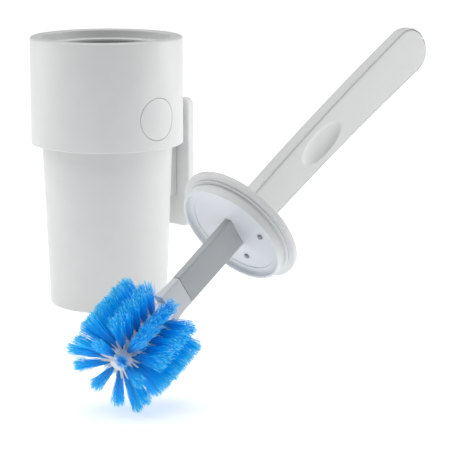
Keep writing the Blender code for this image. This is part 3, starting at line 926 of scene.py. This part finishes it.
def make_socket():
    """The head's socket, which carries the bar on and flares a little where the core starts."""
    bar = bar_outline()
    levels = [(SOCKET_TOP, inset_outline(bar, SOCKET_EDGE)), (SOCKET_TOP - SOCKET_EDGE, bar)]
    levels += [(z, widened(bar, grow)) for z, grow in SOCKET_FLARE]
    levels.append((SOCKET_LOW, widened(bar, SOCKET_FLARE[-1][1])))
    socket = loft("socket_sleeve", [[(x, y, z) for x, y in outline] for z, outline in levels])
    return finish_piece(socket, "brush", SLEEVE, ("head_socket",))


def ring_heights():
    """Heights of the rings of tufts on the core."""
    first = BRISTLE_TOP - 0.0090
    last = CORE_END + 0.0096
    return [first + (last - first) * k / (SIDE_RINGS - 1) for k in range(SIDE_RINGS)]


SIDE_ROOT = 0.0058
END_ROOT = 0.0046
END_RISE = 0.0026
END_LEAN = math.radians(23.0)
UP = Vector((0, 0, 1))


def tufts_of_row(row):
    """(root, direction) of each tuft of a row: the side rings, then one that splays over the end."""
    turn = ROW_TURN + 2 * math.pi * row / ROWS
    out = Vector((math.cos(turn), math.sin(turn), 0.0))
    tufts = [(out * SIDE_ROOT + UP * z, out.copy()) for z in ring_heights()]
    end_root = out * END_ROOT + UP * (CORE_END + END_RISE)
    tufts.append((end_root, out * math.cos(END_LEAN) - UP * math.sin(END_LEAN)))
    return tufts


def is_end_tuft(direction):
    return direction.z < -0.1


def tuft_axes(direction):
    """Two directions across a tuft: around the core, and along it."""
    side = direction.cross(UP).normalized()
    return side, side.cross(direction).normalized()


def tuft_reach(root, direction):
    """Length of a tuft that ends on the head's outline: a cylinder with a round end."""
    length = 0.0
    step = 0.0002
    while length < 0.05:
        tip = root + direction * (length + step)
        radius = math.hypot(tip.x, tip.y)
        if tip.z < DOME_CENTRE:
            radius = math.hypot(radius, tip.z - DOME_CENTRE)
        if radius > BRISTLE_R - 0.0006:
            break
        length += step
    return length


def make_core():
    """The core, with a pair of prongs in a V at the root of each tuft."""
    top = SOCKET_LOW - GAP
    outline = fillet(
        [
            (0.0, CORE_END - 0.0006, 0),
            (CORE_R * 0.46, CORE_END - 0.0006, 0.0010),
            (CORE_R * 0.72, CORE_END + 0.0020, 0.0016),
            (CORE_R * 0.76, CORE_END + 0.0080, 0.0016),
            (CORE_R * 0.80, top, 0.0008),
            (0.0, top, 0),
        ]
    )
    parts = [lathe("core_body", outline, 64)]
    for row in range(ROWS):
        for root, direction in tufts_of_row(row):
            side, along = tuft_axes(direction)
            length = END_PRONG if is_end_tuft(direction) else SIDE_PRONG
            for hand in (-1, 1):
                parts.append(prong(root, direction, side * hand, along, length))
    core = joined("core_hub", parts)
    return finish_piece(core, "brush", HUB, ("head_core",))


SIDE_PRONG = 0.0052
END_PRONG = 0.0075
# Share of the length, half width, half thickness and distance from the tuft's middle.
PRONG_STATIONS = (
    (-0.10, 0.0017, 0.00075, 0.0010),
    (0.25, 0.0016, 0.00070, 0.0013),
    (0.60, 0.0014, 0.00060, 0.0017),
    (0.90, 0.0010, 0.00045, 0.0021),
    (1.0, 0.0005, 0.00025, 0.0022),
)


def prong(root, direction, side, along, length):
    """One flat tapered prong that leans out beside a tuft."""
    rings = []
    for share, width, thick, lean in PRONG_STATIONS:
        middle = root + direction * (length * share) + side * lean
        ring = []
        for step in range(8):
            turn = 2 * math.pi * step / 8
            ring.append(tuple(middle + along * (width * math.cos(turn)) + side * (thick * math.sin(turn))))
        rings.append(ring)
    return loft("prong", rings)


FILAMENTS = 165
FILAMENT_SIDES = 3
FILAMENT_R = 0.00016
FILAMENT_LEVELS = (0.0, 0.34, 0.68, 1.0)
FILAMENT_TAPER = 0.30
STRAY = 0.0007
CURL = 0.0006
# Half width of a tuft at its root, and half widths across and along the core at its tip.
SIDE_TUFT = (0.0011, 0.0054, 0.0052)
END_TUFT = (0.0007, 0.0042, 0.0036)


def filament(dice, root, direction, reach):
    """Points, shares of the length and luck of one fine filament, which fans out towards its tip."""
    side, along = tuft_axes(direction)
    root_half, tip_wide, tip_deep = END_TUFT if is_end_tuft(direction) else SIDE_TUFT
    angle = dice.uniform(0, 2 * math.pi)
    out = math.sqrt(dice.uniform(0, 1))
    a = out * math.cos(angle)
    b = out * math.sin(angle)
    start = root + side * (a * root_half) + along * (b * root_half)
    wide = tip_wide + 0.0006 * dice.gauss(0, 1)
    length = reach * (1 - 0.10 * out * out) * dice.uniform(0.93, 1.035)
    end = root + direction * length
    end += side * (a * wide + dice.gauss(0, STRAY)) + along * (b * tip_deep + dice.gauss(0, STRAY))
    curl = side * dice.gauss(0, CURL) + along * dice.gauss(0, CURL)
    luck = dice.random()
    radius = FILAMENT_R * dice.uniform(0.85, 1.15)
    arm = (end - start).normalized()
    e1 = arm.orthogonal().normalized()
    e2 = arm.cross(e1)
    points = []
    shares = []
    for share in FILAMENT_LEVELS:
        middle = start + direction * (length * share)
        middle += (end - start - direction * length) * share ** 1.25
        middle += curl * math.sin(math.pi * share)
        size = radius * (1.0 - FILAMENT_TAPER * share)
        for k in range(FILAMENT_SIDES):
            turn = 2 * math.pi * k / FILAMENT_SIDES + luck * 6
            points.append(tuple(middle + e1 * (size * math.cos(turn)) + e2 * (size * math.sin(turn))))
            shares.append(share)
    return points, shares, luck


def filament_faces(first):
    """Sides and both ends of a filament whose points start at an index."""
    faces = []
    for level in range(len(FILAMENT_LEVELS) - 1):
        here = first + level * FILAMENT_SIDES
        for k in range(FILAMENT_SIDES):
            after = (k + 1) % FILAMENT_SIDES
            faces.append((here + k, here + after, here + FILAMENT_SIDES + after, here + FILAMENT_SIDES + k))
    last = first + (len(FILAMENT_LEVELS) - 1) * FILAMENT_SIDES
    faces.append(tuple(first + k for k in reversed(range(FILAMENT_SIDES))))
    faces.append(tuple(last + k for k in range(FILAMENT_SIDES)))
    return faces


def make_row(row, dice):
    """One row of tufts. Its points carry their share of the length and their filament's luck."""
    points = []
    faces = []
    shares = []
    lucks = []
    for root, direction in tufts_of_row(row):
        reach = tuft_reach(root, direction)
        for _ in range(FILAMENTS):
            faces += filament_faces(len(points))
            new_points, new_shares, luck = filament(dice, root, direction, reach)
            points += new_points
            shares += new_shares
            lucks += [luck] * len(new_points)
    name = "tuft_row_%02d" % (row + 1)
    mesh = bpy.data.meshes.new(name)
    mesh.from_pydata(points, [], faces)
    for label, values in (("along", shares), ("luck", lucks)):
        layer = mesh.attributes.new(label, "FLOAT", "POINT")
        layer.data.foreach_set("value", values)
    mesh.update()
    made = bpy.data.objects.new(name, mesh)
    bpy.context.scene.collection.objects.link(made)
    return finish_piece(made, "brush", BLUE, ("bristle_row_%02d" % (row + 1),))


# ---------------------------------------------------------------- stage


FLOOR_HALF = 14.0
WORLD = 0.12
WORLD_TINT = (0.97, 0.985, 1.0, 1.0)
SUN = 1.9
SUN_SPREAD = math.radians(80.0)
SUN_TILT = math.radians(6.0)
SIDE_POWER = 5.5
PANEL_SIZE = (0.9, 1.2)
PANEL_RISE = 0.45
STAGE_MIDDLE = Vector((0.06, -0.02, 0.12))


def make_stage():
    half = FLOOR_HALF
    corners = [(-half, -half), (half, -half), (half, half), (-half, half)]
    floor = new_object("studio_floor_plane", [(x, y, 0) for x, y in corners], [(0, 1, 2, 3)])
    floor.data.materials.append(floor_material())
    world = bpy.data.worlds.new("studio")
    bpy.context.scene.world = world
    world.use_nodes = True
    sky = world.node_tree.nodes["Background"]
    sky.inputs["Color"].default_value = WORLD_TINT
    sky.inputs["Strength"].default_value = WORLD


def area_light(name, power, size, at, target):
    lamp = bpy.data.lights.new(name, "AREA")
    lamp.energy = power
    lamp.shape = "RECTANGLE"
    lamp.size = size[0]
    lamp.size_y = size[1]
    made = bpy.data.objects.new(name, lamp)
    made.location = at
    made.rotation_euler = (Vector(target) - Vector(at)).to_track_quat("-Z", "Y").to_euler()
    bpy.context.scene.collection.objects.link(made)
    return made


def make_lights():
    """A wide soft sun from above and a panel on each side of the view."""
    lamp = bpy.data.lights.new("overhead", "SUN")
    lamp.energy = SUN
    lamp.angle = SUN_SPREAD
    made = bpy.data.objects.new("overhead", lamp)
    made.rotation_euler = (SUN_TILT, -SUN_TILT, 0.0)
    bpy.context.scene.collection.objects.link(made)
    right = Vector((math.cos(CAMERA_YAW), math.sin(CAMERA_YAW), 0.0))
    ahead = Vector((-math.sin(CAMERA_YAW), math.cos(CAMERA_YAW), 0.0))
    for name, share, across, along in (
        ("left_panel", 0.8, -1.1, 0.25),
        ("right_panel", 1.5, 1.2, 0.30),
    ):
        at = STAGE_MIDDLE + right * across + ahead * along + UP * PANEL_RISE
        area_light(name, SIDE_POWER * share, PANEL_SIZE, at, STAGE_MIDDLE)


def make_camera():
    lens = bpy.data.cameras.new("camera")
    lens.lens = CAMERA_LENS
    lens.sensor_width = CAMERA_SENSOR
    made = bpy.data.objects.new("camera", lens)
    made.location = (
        CAMERA_DISTANCE * math.sin(CAMERA_TURN),
        -CAMERA_DISTANCE * math.cos(CAMERA_TURN),
        CAMERA_HEIGHT,
    )
    made.rotation_euler = (math.pi / 2 + CAMERA_PITCH, 0.0, CAMERA_YAW)
    bpy.context.scene.collection.objects.link(made)
    bpy.context.scene.camera = made


def dress_cad_nodes():
    """Materials for the CAD nodes that stay in view."""
    looks = {
        "adhesive_pad": FOAM,
        "lid_clip_1": CLIP_GREY,
        "lid_clip_2": CLIP_GREY,
        "stem_pin_1": STEEL,
        "stem_pin_2": STEEL,
    }
    for node, material in looks.items():
        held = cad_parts[node]
        for place in held.material_slots:
            place.material = material


def main():
    scene = bpy.context.scene
    scene.view_settings.view_transform = "Standard"
    scene.view_settings.look = "None"
    make_collar_shell()
    make_cup_shell()
    make_button_disc()
    make_bracket_plate()
    make_lid()
    make_handle_tray()
    make_handle_cover()
    make_stem_bar()
    make_socket()
    make_core()
    dice = random.Random(41)
    for row in range(ROWS):
        make_row(row, dice)
    dress_cad_nodes()
    make_stage()
    make_lights()
    make_camera()


main()
